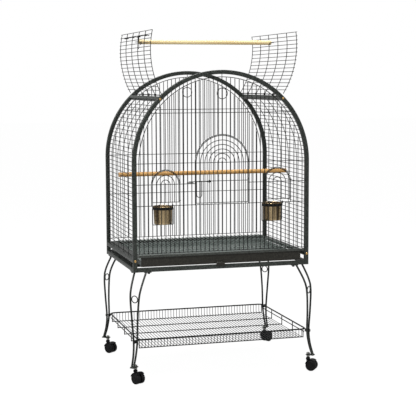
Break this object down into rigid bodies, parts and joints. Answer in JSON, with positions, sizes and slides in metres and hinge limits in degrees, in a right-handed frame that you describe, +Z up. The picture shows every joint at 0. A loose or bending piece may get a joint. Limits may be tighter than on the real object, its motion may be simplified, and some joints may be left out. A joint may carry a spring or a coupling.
{
  "type": "bird cage on stand",
  "caption": "Arched wire bird cage with an opening play-top roof, doors, cups, perches and a slide-out tray, on a stand with a wire shelf and casters.",
  "frame": {"origin": "on the floor under the centre of the cage", "axes": "+Z up, front towards -Y, +X to the right seen from the front"},
  "size_m": [0.8232, 0.6539, 1.4365],
  "materials": {
    "frame_enamel": "dark grey-green hammered enamel, slightly glossy",
    "wire_enamel": "dark grey-green hammered enamel on wire",
    "holder_black": "black enamel",
    "brass_screw": "bright brass-coloured plating",
    "zinc": "zinc-plated, dull",
    "pale_wood": "bare pale hardwood dowel",
    "orange_wood": "bare warm-toned hardwood dowel",
    "cup_steel": "polished stainless steel",
    "tray_enamel": "dark brown-grey hammered enamel",
    "grate_enamel": "grey-green speckled enamel",
    "caster_plastic": "black moulded plastic, semi-gloss",
    "wheel_plastic": "black moulded plastic wheels"
  },
  "bodies": {
    "cage_and_stand": {"front_arch_frame": "frame_enamel", "rear_arch_frame": "frame_enamel", "lower_rails": "frame_enamel", "mid_rails": "frame_enamel", "shoulder_bars": "frame_enamel", "frame_screws": "brass_screw", "tube_plugs": "zinc", "runners": "frame_enamel", "front_bars": "wire_enamel", "front_cross_wires": "wire_enamel", "front_frame_wires": "wire_enamel", "rear_bars": "wire_enamel", "rear_cross_wires": "wire_enamel", "rear_frame_wire": "wire_enamel", "left_long_wires": "wire_enamel", "left_cross_wires": "wire_enamel", "right_long_wires": "wire_enamel", "right_cross_wires": "wire_enamel", "top_rings": "wire_enamel", "roof_hinge_rods": "wire_enamel", "lower_perch": "orange_wood", "cup_holders": "holder_black", "front_left_leg": "frame_enamel", "front_right_leg": "frame_enamel", "rear_left_leg": "frame_enamel", "rear_right_leg": "frame_enamel", "leg_rings": "frame_enamel", "stand_bolts": "holder_black", "shelf_rim": "wire_enamel", "shelf_long_wires": "wire_enamel", "shelf_cross_wires": "wire_enamel", "caster_stems": "zinc", "caster_nuts": "zinc"},
    "left_roof_flap": {"left_flap_long_wires": "wire_enamel", "left_flap_cross_wires": "wire_enamel", "left_perch_cradle": "wire_enamel"},
    "right_roof_flap": {"right_flap_long_wires": "wire_enamel", "right_flap_cross_wires": "wire_enamel", "right_perch_cradle": "wire_enamel"},
    "front_roof_latch": {"front_roof_latch": "wire_enamel"},
    "rear_roof_latch": {"rear_roof_latch": "wire_enamel"},
    "top_perch": {"top_perch": "pale_wood"},
    "main_door": {"main_door": "wire_enamel", "latch_pin": "wire_enamel"},
    "door_latch": {"door_latch": "wire_enamel"},
    "left_feeder_door": {"left_feeder_door": "wire_enamel"},
    "right_feeder_door": {"right_feeder_door": "wire_enamel"},
    "left_cup": {"left_cup": "cup_steel"},
    "right_cup": {"right_cup": "cup_steel"},
    "tray": {"tray": "tray_enamel"},
    "grate": {"grate_wires": "grate_enamel", "grate_front": "tray_enamel"},
    "front_left_caster_hood": {"front_left_caster_hood": "caster_plastic"},
    "front_left_caster_wheels": {"front_left_caster_wheels": "wheel_plastic"},
    "front_right_caster_hood": {"front_right_caster_hood": "caster_plastic"},
    "front_right_caster_wheels": {"front_right_caster_wheels": "wheel_plastic"},
    "rear_left_caster_hood": {"rear_left_caster_hood": "caster_plastic"},
    "rear_left_caster_wheels": {"rear_left_caster_wheels": "wheel_plastic"},
    "rear_right_caster_hood": {"rear_right_caster_hood": "caster_plastic"},
    "rear_right_caster_wheels": {"rear_right_caster_wheels": "wheel_plastic"}
  },
  "joints": [
    {"name": "left_roof_flap_hinge", "type": "hinge", "parent": "cage_and_stand", "child": "left_roof_flap", "pos_m": [-0.25727, 0, 1.17431], "axis": [0, 1, 0], "range_deg": [0, 75.8]},
    {"name": "right_roof_flap_hinge", "type": "hinge", "parent": "cage_and_stand", "child": "right_roof_flap", "pos_m": [0.25727, 0, 1.17431], "axis": [0, -1, 0], "range_deg": [0, 80.2]},
    {"name": "top_perch_lift", "type": "slide", "parent": "cage_and_stand", "child": "top_perch", "axis": [0, 0, 1], "range_m": [0, 2.12]},
    {"name": "front_roof_latch_turn", "type": "hinge", "parent": "left_roof_flap", "child": "front_roof_latch", "pos_m": [-0.29432, -0.09, 1.4179], "axis": [0, -1, 0], "range_deg": [0, 60]},
    {"name": "rear_roof_latch_turn", "type": "hinge", "parent": "left_roof_flap", "child": "rear_roof_latch", "pos_m": [-0.29432, 0.13, 1.4179], "axis": [0, -1, 0], "range_deg": [0, 60]},
    {"name": "main_door_hinge", "type": "hinge", "parent": "cage_and_stand", "child": "main_door", "pos_m": [0.1152, -0.2715, 0.866], "axis": [0, 0, 1], "range_deg": [0, 150]},
    {"name": "door_latch_lift", "type": "hinge", "parent": "main_door", "child": "door_latch", "pos_m": [-0.0575, -0.2805, 0.821], "axis": [0, 1, 0], "range_deg": [0, 28]},
    {"name": "left_feeder_door_hinge", "type": "hinge", "parent": "cage_and_stand", "child": "left_feeder_door", "pos_m": [-0.1808, -0.2715, 0.782], "axis": [0, 0, 1], "range_deg": [0, 150]},
    {"name": "right_feeder_door_hinge", "type": "hinge", "parent": "cage_and_stand", "child": "right_feeder_door", "pos_m": [0.3002, -0.2715, 0.782], "axis": [0, 0, 1], "range_deg": [0, 150]},
    {"name": "left_cup_lift", "type": "slide", "parent": "cage_and_stand", "child": "left_cup", "axis": [0, 0, 1], "range_m": [0, 0.12]},
    {"name": "right_cup_lift", "type": "slide", "parent": "cage_and_stand", "child": "right_cup", "axis": [0, 0, 1], "range_m": [0, 0.12]},
    {"name": "tray_slide", "type": "slide", "parent": "cage_and_stand", "child": "tray", "axis": [0, -1, 0], "range_m": [0, 0.45]},
    {"name": "grate_slide", "type": "slide", "parent": "cage_and_stand", "child": "grate", "axis": [0, -1, 0], "range_m": [0, 0.45]},
    {"name": "front_left_caster_swivel", "type": "hinge", "parent": "cage_and_stand", "child": "front_left_caster_hood", "pos_m": [-0.37753, -0.28753, 0.052], "axis": [0, 0, 1], "continuous": true},
    {"name": "front_left_caster_axle", "type": "hinge", "parent": "front_left_caster_hood", "child": "front_left_caster_wheels", "pos_m": [-0.37001, -0.30165, 0.023], "axis": [-0.8829, -0.4695, 0], "continuous": true},
    {"name": "front_right_caster_swivel", "type": "hinge", "parent": "cage_and_stand", "child": "front_right_caster_hood", "pos_m": [0.37753, -0.28753, 0.052], "axis": [0, 0, 1], "continuous": true},
    {"name": "front_right_caster_axle", "type": "hinge", "parent": "front_right_caster_hood", "child": "front_right_caster_wheels", "pos_m": [0.39014, -0.29738, 0.023], "axis": [-0.6157, -0.788, 0], "continuous": true},
    {"name": "rear_left_caster_swivel", "type": "hinge", "parent": "cage_and_stand", "child": "rear_left_caster_hood", "pos_m": [-0.37753, 0.28753, 0.052], "axis": [0, 0, 1], "continuous": true},
    {"name": "rear_left_caster_axle", "type": "hinge", "parent": "rear_left_caster_hood", "child": "rear_left_caster_wheels", "pos_m": [-0.36724, 0.27527, 0.023], "axis": [-0.766, -0.6428, 0], "continuous": true},
    {"name": "rear_right_caster_swivel", "type": "hinge", "parent": "cage_and_stand", "child": "rear_right_caster_hood", "pos_m": [0.37753, 0.28753, 0.052], "axis": [0, 0, 1], "continuous": true},
    {"name": "rear_right_caster_axle", "type": "hinge", "parent": "rear_right_caster_hood", "child": "rear_right_caster_wheels", "pos_m": [0.39063, 0.2967, 0.023], "axis": [0.5736, -0.8192, 0], "continuous": true}
  ],
  "couplings": [
    {"joint": "right_roof_flap_hinge", "follows": "left_roof_flap_hinge", "ratio": 1.0567},
    {"joint": "top_perch_lift", "follows": "left_roof_flap_hinge", "m_per_rad": 1.6}
  ]
}
